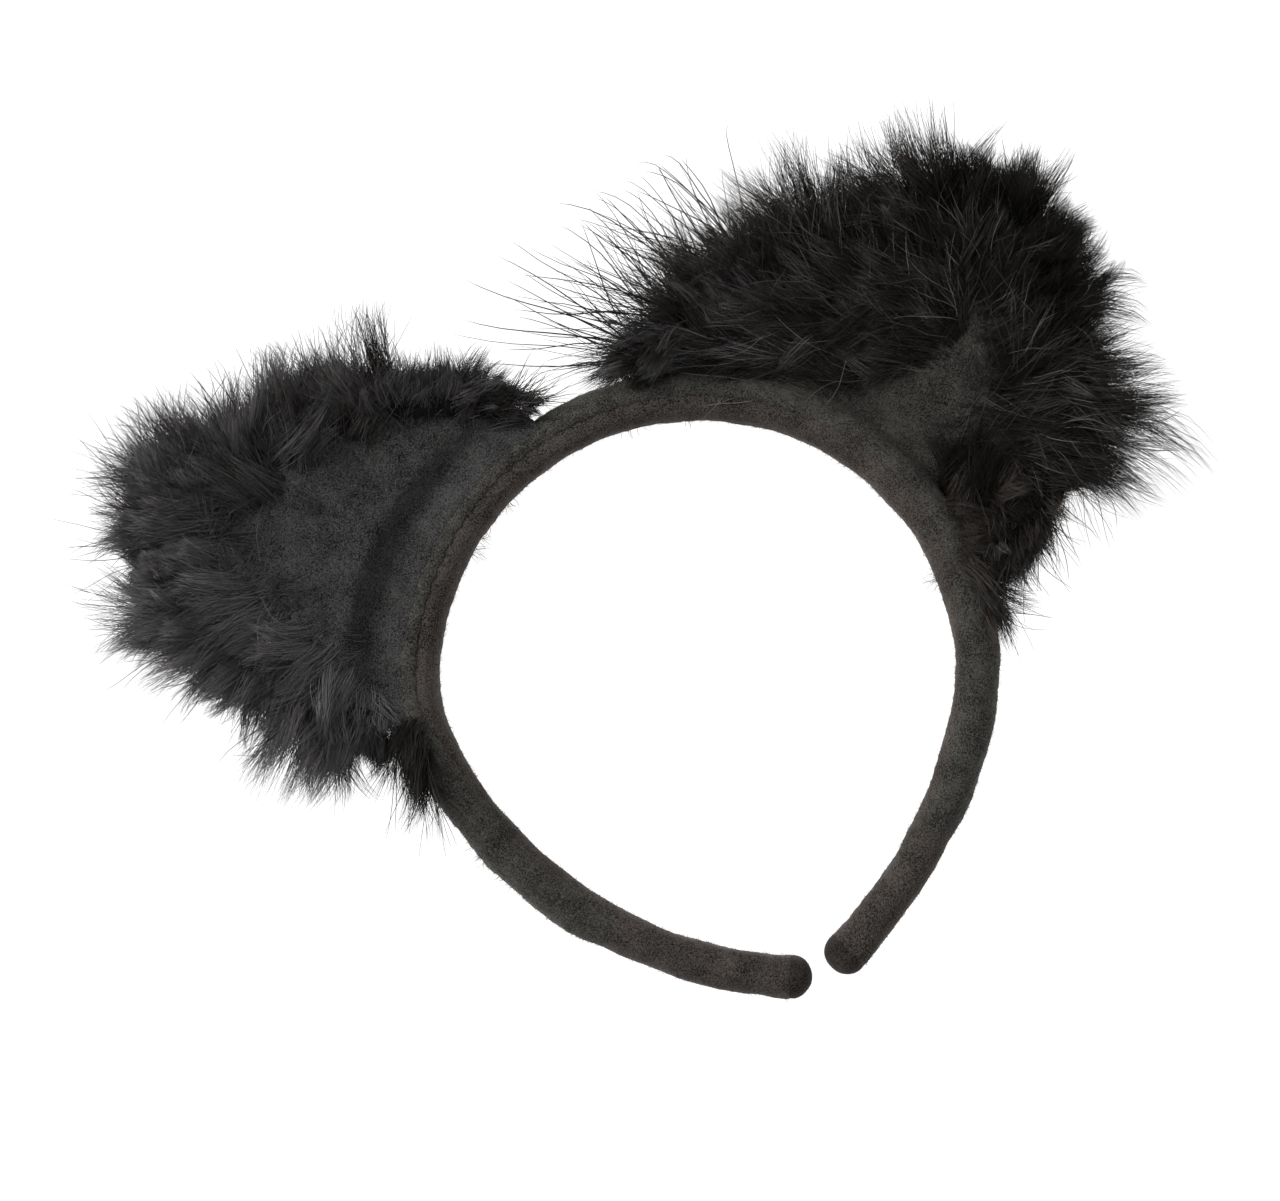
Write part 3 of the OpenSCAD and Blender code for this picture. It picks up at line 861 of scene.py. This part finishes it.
# Fur along the rim as {q: value}: its length in mm, how far in it is rooted on the front face in mm, its
# heading in degrees from straight out, positive towards the outer foot, how much further hairs rooted well in
# are turned, how far guard hairs outrun the fur, as a share of its length, and how much lighter it is.
FUR = {
    "left_ear": {
        "length": {
            0: 4, 0.04: 3, 0.1: 7, 0.15: 6, 0.2: 20, 0.26: 12, 0.33: 15, 0.4: 17, 0.47: 20, 0.52: 8,
            0.61: 5, 0.66: 12, 0.72: 20, 0.8: 9, 0.86: 16, 0.91: 17, 0.945: 14, 0.96: 5, 1: 4,
        },
        "inset": {0: 1, 0.1: 3.5, 0.24: 6, 0.34: 13, 0.5: 12, 0.62: 12, 0.75: 15, 0.9: 11, 1: 4},
        "heading": {0: -72, 0.08: -45, 0.18: -8, 0.35: 12, 0.5: -12, 0.65: -28, 0.85: -30, 0.94: -5, 1: 20},
        "lean": {0: 0, 1: 0},
        "guard": {0: 0.5, 0.3: 0.5, 1: 0.4},
        "tone": {0: -0.15, 0.3: 0.05, 0.55: 0.36, 0.7: 0.6, 0.92: 0.78, 0.96: 0.4, 1: -0.1},
    },
    "right_ear": {
        "length": {
            0: 17, 0.05: 12, 0.12: 13, 0.2: 18, 0.3: 17, 0.38: 16, 0.44: 9, 0.5: 14, 0.55: 15, 0.6: 11,
            0.66: 14, 0.71: 12, 0.76: 25, 0.82: 23, 0.86: 17, 0.885: 4, 0.93: 4, 1: 5,
        },
        "inset": {
            0: 1, 0.05: 4, 0.08: 9, 0.12: 16, 0.18: 26, 0.24: 33, 0.32: 32, 0.42: 27, 0.52: 21, 0.6: 15,
            0.7: 15, 0.8: 17, 0.88: 20, 0.95: 20, 1: 8,
        },
        "heading": {
            0: -40, 0.08: -30, 0.2: -18, 0.4: -24, 0.5: -20, 0.65: -26, 0.78: -6, 0.86: 5, 0.92: 40, 1: 40,
        },
        "lean": {0: -10, 0.15: -35, 0.3: -35, 0.5: -10, 0.7: 0, 0.84: 0, 0.9: -40, 1: -60},
        "guard": {0: 0.7, 0.12: 0.6, 0.3: 0.35, 0.7: 0.3, 1: 0.4},
        "tone": {0: 0.24, 0.15: 0.2, 0.3: 0.08, 0.45: -0.06, 0.6: -0.2, 0.8: -0.03, 0.92: 0.05, 1: 0.25},
    },
}


def tufts(many, hairs, heading, length, wear, **more):
    """A row of EXTRA: how many tufts, hairs to a tuft, and the ranges of their heading and length.

    more says where, as ranges: q along the rim, and inset, or angle along the band. It may also give radius
    and curl, for single hairs. Those with an angle are rooted on the band and are not attached to an ear.
    """
    return {"many": many, "hairs": hairs, "heading": heading, "length": length, "wear": wear, **more}


# Tufts and long single hairs that break the even coat, in the same terms as above.
EXTRA = {
    "left_ear": [
        tufts(46, 40, (45, 92), (9, 21), "dark", angle=(80, 97)),
        tufts(14, 40, (40, 85), (7, 14), "grey", angle=(78, 92)),
        tufts(60, 1, (50, 100), (14, 28), "guard", angle=(82, 98)),
        tufts(4, 40, (6, 14), (24, 27), "black", q=(0.172, 0.18)),
        tufts(6, 44, (-20, 20), (10, 14), "mid", q=(0.09, 0.13)),
        tufts(8, 26, (-70, -20), (3, 6), "dark", q=(0.012, 0.07)),
        tufts(60, 1, (-80, -10), (6, 13), "guard", q=(0.012, 0.05)),
        tufts(12, 36, (-10, 50), (6, 11), "mid", q=(0.955, 0.986)),
        tufts(70, 7, (110, 250), (5, 12), "mid", q=(0.2, 0.9), inset=(8, 19)),
        tufts(80, 1, (-30, 30), (16, 28), "guard", q=(0.16, 0.6)),
    ],
    "right_ear": [
        tufts(26, 40, (-150, -85), (10, 18), "black", q=(0.89, 0.988), inset=(9, 21)),
        tufts(14, 34, (-170, -50), (9, 16), "brown", q=(0.93, 0.988), inset=(5, 18)),
        tufts(14, 34, (80, 170), (6, 13), "brown", q=(0.95, 0.988), inset=(3, 14)),
        tufts(20, 40, (50, 92), (8, 20), "brown", angle=(84, 99)),
        tufts(22, 40, (45, 92), (7, 19), "dark", angle=(84, 99)),
        tufts(24, 36, (25, 85), (5, 10), "dark", q=(0.945, 0.986)),
        tufts(26, 30, (15, 75), (5, 11), "brown", q=(0.895, 0.97)),
        tufts(60, 1, (5, 80), (8, 19), "guard", q=(0.89, 0.985)),
        tufts(18, 36, (-20, 50), (5, 9), "brown", angle=(84, 92)),
        tufts(50, 1, (20, 90), (8, 22), "guard", angle=(82, 100)),
        tufts(12, 36, (-70, 0), (4, 7), "black", angle=(9, 15)),
        tufts(80, 1, (-45, 18), (18, 36), "guard", q=(0.012, 0.17)),
        tufts(75, 1, (-48, 16), (26, 50), "guard", q=(0.012, 0.19), radius=0.22, curl=0.16),
        tufts(90, 8, (110, 250), (6, 14), "dark", q=(0.1, 0.9), inset=(9, 24)),
        # Pale hairs lying over the felt's edge: partly real pale hairs, partly painted glints.
        tufts(90, 1, (-90, 20), (12, 22), "guard_pale_and_glint", q=(0.1, 0.6), inset=(6, 28), radius=0.085),
        tufts(60, 1, (-120, 60), (10, 22), "guard", q=(0.6, 0.95), inset=(6, 24)),
    ],
}
RIM_ENDS = (0.012, 0.988)
FUR_STEPS = 5
GUARD_STEPS = 9
TUFTS = 980             # in the coat of each ear
PER_TUFT = 44
LOOSE = 5500            # single hairs in the coat
GUARDS = 900
# The pale hairs below are partly real pale hairs and partly painted glints.
PALE_AND_GLINT_HAIRS = 160
MOST_HAIRS = 8600       # in one piece
HAIR = 0.085            # radius of a hair near its root, in mm
LOOSE_HAIR = 0.06
GUARD = 0.13
PALE_AND_GLINT_HAIR = 0.065
ROOT_RADIUS = 4.4       # fur on the rim is rooted this far from its middle line
BAND_ROOT = 5.6         # and fur on the band this far from the band's middle line
GROOM_SCALE = 26        # how many times the fur's lie changes along a rim
APART = 0.0085          # how far q varies within a tuft on the rim
BAND_APART = 0.9        # and the angle within a tuft on the band


def along_rim(table, q):
    return np.interp(q, list(table), list(table.values()))


def groom(ear, q, inset, seed=57):
    """A smooth wandering along the rim and over the face, so that neighbouring tufts are alike."""
    where = np.stack([q * GROOM_SCALE, inset / 9, 0 * q + ear.band.side * 3], -1)
    return lumps(where, 1.0, seed)


def face_tree(ear):
    """Finds the depth of the front felt at a place in the plan."""
    grid = face_grid(ear, True).reshape(-1, 3)
    tree = KDTree(len(grid))
    for i, (x, _, z) in enumerate(grid):
        tree.insert((x, 0, z), i)
    tree.balance()
    return tree, grid[:, 1]


def hair_frames(band, out, along):
    """A frame for each hair, from its outwards and along as (x, z)."""
    zero = np.zeros(len(out))
    return band.place(out, zero), band.place(along, zero), np.tile([0.0, 1.0, 0.0], (len(out), 1))


def fur_roots(ear, q, turn, inset):
    """Roots and frames of hairs. turn goes round the rim, from the front (-) to the back (+), in radians.

    A hair whose inset is above 0 is rooted that far in on the front face instead.
    """
    plan, out, along, depth = ear.rim(np.clip(q, *RIM_ENDS))
    on_face = inset > 0
    shift = np.where(on_face, -inset, ROOT_RADIUS * np.cos(turn))
    roots = ear.band.place(plan + shift[:, None] * out, depth + ROOT_RADIUS * np.sin(turn))
    tree, depths = ear.face
    for i in np.flatnonzero(on_face):
        roots[i, 1] = depths[tree.find((roots[i, 0], 0, roots[i, 2]))[1]] + 0.3
    return roots, hair_frames(ear.band, out, along)


def band_roots(band, angle, turn):
    """Roots and frames of hairs on the band's own round outer side, at an ear's foot."""
    out = outward(angle)
    plan = band.at(angle) + (BAND_ROOT * np.cos(turn))[:, None] * out
    return band.place(plan, BAND_ROOT * np.sin(turn)), hair_frames(band, out, outward(angle + 90))


def fur_lift(turn, inset, rng, loose):
    """Rise of hairs towards the back at root and tip. Those on the face spring off it and lie down."""
    n = len(turn)
    on_face = inset > 0
    root = np.where(on_face, -0.75 + 0.3 * smooth(inset, 8, 20), 0.85 * turn) + 0.15 * rng.normal(size=n)
    tip = np.where(on_face, -0.12 + 0.1 * smooth(inset, 8, 20), 0.32 * turn) + loose * rng.normal(size=n)
    return root, tip


def place_fur(ear, spec, count, rng):
    """Where hairs or tufts of the coat are rooted, and their heading in radians."""
    q = rng.uniform(*RIM_ENDS, count)
    turn = np.radians(rng.triangular(-118, -20, 112, count))
    furthest = along_rim(spec["inset"], q)
    on_face = rng.random(count) < furthest / (furthest + 15)
    inset = np.where(on_face, rng.random(count) ** 1.2 * 1.15 * furthest, 0)
    heading = along_rim(spec["heading"], q) + along_rim(spec["lean"], q) * smooth(inset, 6, 20)
    return q, turn, inset, np.radians(heading) + 0.36 * groom(ear, q, inset)


def make_tufts(rooted, q, turn, inset, heading, size, per_tuft, rng, apart=APART):
    """Tufts of hairs that share their tuft's lie and draw in towards its spine. Also gives each hair's tuft.

    rooted gives roots and frames for arrays of q, turn and inset. apart is how far q varies within a tuft.
    """
    many = len(q)
    curl = 0.42 * rng.normal(size=many)
    lift = fur_lift(turn, inset, rng, 0.16)
    roots, frames = rooted(q, turn, inset)
    spines = hair_paths(roots, frames, heading, curl, lift, size, FUR_STEPS)
    gather = rng.uniform(0.35, 0.95, many)

    n = many * per_tuft
    c = np.repeat(np.arange(many), per_tuft)
    hair_q = q[c] + apart * rng.normal(size=n)
    hair_turn = np.clip(turn[c] + 0.22 * rng.normal(size=n), -2.15, 2.1)
    hair_inset = np.where(inset[c] > 0, np.maximum(inset[c] + 1.5 * rng.normal(size=n), 0.3), 0)
    roots, frames = rooted(hair_q, hair_turn, hair_inset)
    hair_heading = heading[c] + 0.14 * rng.normal(size=n)
    hair_curl = curl[c] + 0.18 * rng.normal(size=n)
    hair_lift = tuple(v[c] + 0.08 * rng.normal(size=n) for v in lift)
    share = 1.12 - 0.78 * rng.random(n) ** 1.2
    length = size[c] * share
    paths = hair_paths(roots, frames, hair_heading, hair_curl, hair_lift, length, FUR_STEPS, 0.07, rng)

    # Each hair's place on its tuft's spine, at the same distance from the root.
    u = np.linspace(0, 1, FUR_STEPS)[None, :, None]
    along = np.minimum(share, 1)[:, None, None] * u * (FUR_STEPS - 1)
    low = np.minimum(along.astype(int), FUR_STEPS - 2)
    rows = np.arange(n)[:, None]
    mine = spines[c]
    spine = mix(mine[rows, low[..., 0]], mine[rows, low[..., 0] + 1], along - low)
    return mix(paths, spine, gather[c][:, None, None] * u ** 1.2), c


def make_coat(ear, spec, rng):
    """The coat's tufted hairs and each one's tone."""
    q, turn, inset, heading = place_fur(ear, spec, TUFTS, rng)
    heading = heading + 0.2 * rng.normal(size=TUFTS)
    clump = 1 + 0.2 * groom(ear, q, inset, 12)
    size = along_rim(spec["length"], q) * clump * np.clip(rng.lognormal(0.03, 0.27, TUFTS), 0.5, 1.45)
    size = np.where(inset > 0, np.minimum(np.maximum(size, 9), 18), size)
    paths, c = make_tufts(partial(fur_roots, ear), q, turn, inset, heading, size, PER_TUFT, rng)
    tone = along_rim(spec["tone"], q) + 0.6 * rng.random(TUFTS) + 0.09 * groom(ear, q, inset, 91)
    return paths, tone[c] + 0.4 * rng.random(len(c))


def make_loose(ear, spec, rng, count, steps, reach, wave):
    """Single hairs that lie their own way. reach(q, rng) is their share of the fur's length."""
    q, turn, inset, heading = place_fur(ear, spec, count, rng)
    heading = heading + 0.45 * rng.normal(size=count)
    roots, frames = fur_roots(ear, q, turn, inset)
    length = along_rim(spec["length"], q) * reach(q, rng)
    lift = fur_lift(turn, inset, rng, 0.22)
    curl = 0.4 * rng.normal(size=count)
    return hair_paths(roots, frames, heading, curl, lift, length, steps, wave, rng)


def make_extra(ear, spec, rng):
    """One row of EXTRA: its hairs and their radii."""
    many = spec["many"]
    on_band = "angle" in spec
    where = rng.uniform(*(spec["angle"] if on_band else spec["q"]), many)
    turn = np.radians(rng.uniform(-75, 45, many))
    inset = rng.uniform(*spec["inset"], many) if "inset" in spec else np.zeros(many)
    heading = np.radians(rng.uniform(*spec["heading"], many))
    size = rng.uniform(*spec["length"], many)

    def rooted(where, turn, inset):
        return band_roots(ear.band, where, turn) if on_band else fur_roots(ear, where, turn, inset)

    if spec["hairs"] > 1:
        apart = BAND_APART if on_band else APART
        paths, _ = make_tufts(rooted, where, turn, inset, heading, size, spec["hairs"], rng, apart)
        return paths, taper(len(paths), FUR_STEPS, HAIR, rng)
    roots, frames = rooted(where, turn, inset)
    lift = fur_lift(turn, inset, rng, 0.15)
    curl = spec.get("curl", 0.35) * rng.normal(size=many)
    paths = hair_paths(roots, frames, heading, curl, lift, size, GUARD_STEPS, 0.12, rng)
    return paths, taper(many, GUARD_STEPS, spec.get("radius", GUARD), rng)


# The tone of each fur piece and the tone value at which it gives way to the next.
FUR_TONES = {
    "left_ear": [
        ("dark", 0.22), ("mid", 0.4), ("brown", 0.46), ("grey", 0.72), ("pale", 0.95), ("light", 9),
    ],
    "right_ear": [
        ("black", 0.3), ("black", 0.46), ("dark", 0.62), ("brown", 0.7), ("mid", 0.88), ("light", 9),
    ],
}


def make_fur(ear, rng):
    """All the hairs of one ear, in pieces of one tone each."""
    spec = FUR[ear.name]
    ear.face = face_tree(ear)

    def stray_reach(q, rng):
        return rng.uniform(0.5, 1.25, len(q))

    def guard_reach(q, rng):
        return 1.05 + along_rim(spec["guard"], q) * rng.random(len(q))

    def pale_and_glint_reach(q, rng):
        return rng.uniform(0.8, 1.3, len(q))

    paths, tones = make_coat(ear, spec, rng)
    radii = taper(len(paths), FUR_STEPS, HAIR, rng)
    strays = make_loose(ear, spec, rng, LOOSE, FUR_STEPS, stray_reach, 0.2)
    paths = np.concatenate([paths, strays])
    radii = np.concatenate([radii, taper(LOOSE, FUR_STEPS, LOOSE_HAIR, rng)])
    tones = np.concatenate([tones, rng.random(LOOSE)])
    start = -9
    for i, (tone, end) in enumerate(FUR_TONES[ear.name]):
        mine = np.flatnonzero((tones >= start) & (tones < end))
        for j, part in enumerate(np.array_split(mine, math.ceil(len(mine) / MOST_HAIRS))):
            obj = hair_mesh(f"{ear.name}_fur_{i + 1}{'abcdef'[j]}", paths[part], radii[part])
            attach(wear(obj, tone, "long_fur"), ear.body)
        start = end

    # The pale hairs' light colour is partly real and partly painted glints.
    for name, tone, count, reach, radius, wave in (
        ("guard_hairs", "guard", GUARDS, guard_reach, GUARD, 0.15),
        ("light_hairs", "guard_pale_and_glint", PALE_AND_GLINT_HAIRS, pale_and_glint_reach, PALE_AND_GLINT_HAIR, 0.25),
    ):
        paths = make_loose(ear, spec, rng, count, GUARD_STEPS, reach, wave)
        obj = hair_mesh(f"{ear.name}_{name}", paths, taper(count, GUARD_STEPS, radius, rng))
        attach(wear(obj, tone, "long_fur"), ear.body)

    for i, extra in enumerate(EXTRA[ear.name]):
        obj = hair_mesh(f"{ear.name}_extra_{i + 1}", *make_extra(ear, extra, rng))
        wear(obj, extra["wear"], "long_fur")
        if "angle" in extra:
            blend_over(obj, ear.band, "arm")
        else:
            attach(obj, ear.body)


# Wisps that stand off the band's edges: outward angle, the inner (-1) or outer (1) edge, hairs and length.
WISPS = {
    "left": [(24, -1, 9, 3.5), (34, -1, 9, 4.0), (37.5, -1, 12, 5.0), (110, 1, 16, 5.0), (114, 1, 10, 4.0)],
    "right": [(90, -1, 14, 5.5), (8, -1, 6, 3.5), (20, -1, 5, 3.0)],
}
WISP_STEPS = 6


def make_wisps(band, rng):
    """Small wisps of fibre, a piece for those of the side and one for those of the arm."""
    for joint, low, high in (("side", 0, SPLIT), ("arm", SPLIT, 180)):
        paths = []
        for angle, edge, many, length in WISPS[band.name]:
            if low <= angle < high:
                angles = angle + 1.2 * rng.normal(size=many)
                roots = band.place(band.at(angles, 5.4 * edge), rng.uniform(-3.5, 1, many))
                away = band.place(edge * outward(angles), np.zeros(many))
                start = unit(away + 0.5 * rng.normal(size=(many, 3)))
                end = unit(start + 0.7 * rng.normal(size=(many, 3)))
                lengths = length * rng.uniform(0.5, 1, many)
                paths.append(straight_hairs(roots, start, end, lengths, WISP_STEPS))
        if paths:
            paths = np.concatenate(paths)
            radii = taper(len(paths), WISP_STEPS, LOOSE_HAIR, rng)
            obj = hair_mesh(f"{band.name}_{joint}_wisps", paths, radii)
            blend_over(wear(obj, "brown", "wrap_felt"), band, joint)


# ---- Camera, light and backdrop ----

PHOTO_WIDTH = 1280
PHOTO_SCALE = 4.08      # of its pixels per mm in the band's plane
PHOTO_MIDDLE = (-5.96, 23.3)
PHOTO_TURN = (0.9233, 0.3841)   # cosine and sine of the headband's turn in it
DISTANCE = 900
SENSOR = 36


def make_camera():
    c, s = PHOTO_TURN
    x, z = PHOTO_MIDDLE
    right, up, back = Vector((c, 0, -s)), Vector((s, 0, c)), Vector((0, -1, 0))
    cam = bpy.data.cameras.new("camera")
    cam.sensor_width = SENSOR
    cam.lens = PHOTO_SCALE * SENSOR * DISTANCE / PHOTO_WIDTH
    cam.clip_start, cam.clip_end = 0.05, 20
    obj = add("camera", cam)
    turn = Matrix((right, up, back)).transposed().to_4x4()
    obj.matrix_world = Matrix.Translation(Vector((x, -DISTANCE, z)) * MM) @ turn
    bpy.context.scene.camera = obj


# Lights: place in metres, power in watts and size in metres. All are aimed at LIT_POINT.
LIGHTS = {
    "key": ((-0.9, -0.8, 1.0), 26, 0.6),
    "fill": ((1.0, -1.2, 0.1), 4, 1.2),
    "rear": ((-0.5, 1.2, 0.7), 10, 0.9),
}
LIT_POINT = Vector((0, 0, 0.02))


def make_light(name, place, power, size):
    light = bpy.data.lights.new(name, "AREA")
    light.energy = power
    light.size = size
    place = Vector(place)
    turn = (LIT_POINT - place).to_track_quat("-Z", "Y").to_matrix().to_4x4()
    add(name, light).matrix_world = Matrix.Translation(place) @ turn


BACKDROP_HALF = 4.0     # in metres, as is its depth
BACKDROP_Y = 0.032


def make_backdrop():
    """A pale sheet just behind the object, clear from behind."""
    mesh = bpy.data.meshes.new("backdrop")
    h, y = BACKDROP_HALF, BACKDROP_Y
    mesh.from_pydata([(-h, y, -h), (h, y, -h), (h, y, h), (-h, y, h)], [], [(0, 1, 2, 3)])
    m = material("backdrop", (0.2, 0.2, 0.2), roughness=1, specular=0)
    mesh.materials.append(m)
    nodes, links = m.node_tree.nodes, m.node_tree.links
    pale = nodes["Principled BSDF"]
    pale.inputs["Emission Color"].default_value = (1, 1, 1, 1)
    pale.inputs["Emission Strength"].default_value = 0.95
    clear = nodes.new("ShaderNodeBsdfTransparent")
    which = nodes.new("ShaderNodeNewGeometry")
    both = nodes.new("ShaderNodeMixShader")
    links.new(which.outputs["Backfacing"], both.inputs["Fac"])
    links.new(pale.outputs["BSDF"], both.inputs[1])
    links.new(clear.outputs["BSDF"], both.inputs[2])
    links.new(both.outputs["Shader"], nodes["Material Output"].inputs["Surface"])
    add("backdrop", mesh)


def make_world():
    world = bpy.data.worlds.new("studio")
    bpy.context.scene.world = world
    world.use_nodes = True
    sky = world.node_tree.nodes["Background"]
    sky.inputs["Color"].default_value = (1, 1, 1, 1)
    sky.inputs["Strength"].default_value = 0.6


# ---- Build ----

make_camera()
for band in (LEFT, RIGHT):
    make_band(band)
for ear in (LEFT_EAR, RIGHT_EAR):
    rng = np.random.default_rng(70 + ear.band.side)
    make_panel(ear, True, rng)
    make_panel(ear, False, rng)
    make_underfur(ear)
    make_fur(ear, rng)

# What the CAD pieces inside the cloth wear, by a word in their names.
INNER = {"strip": "strip", "padding": "foam", "wire": "wire", "tape": "tape"}
for subpart in frame["record"]["subparts"]:
    for word, key in INNER.items():
        if word in subpart["node"]:
            wear(frame["nodes"][subpart["node"]], key)

make_backdrop()
make_world()
for name, (place, power, size) in LIGHTS.items():
    make_light(name, place, power, size)
bpy.context.scene.view_settings.view_transform = "Standard"
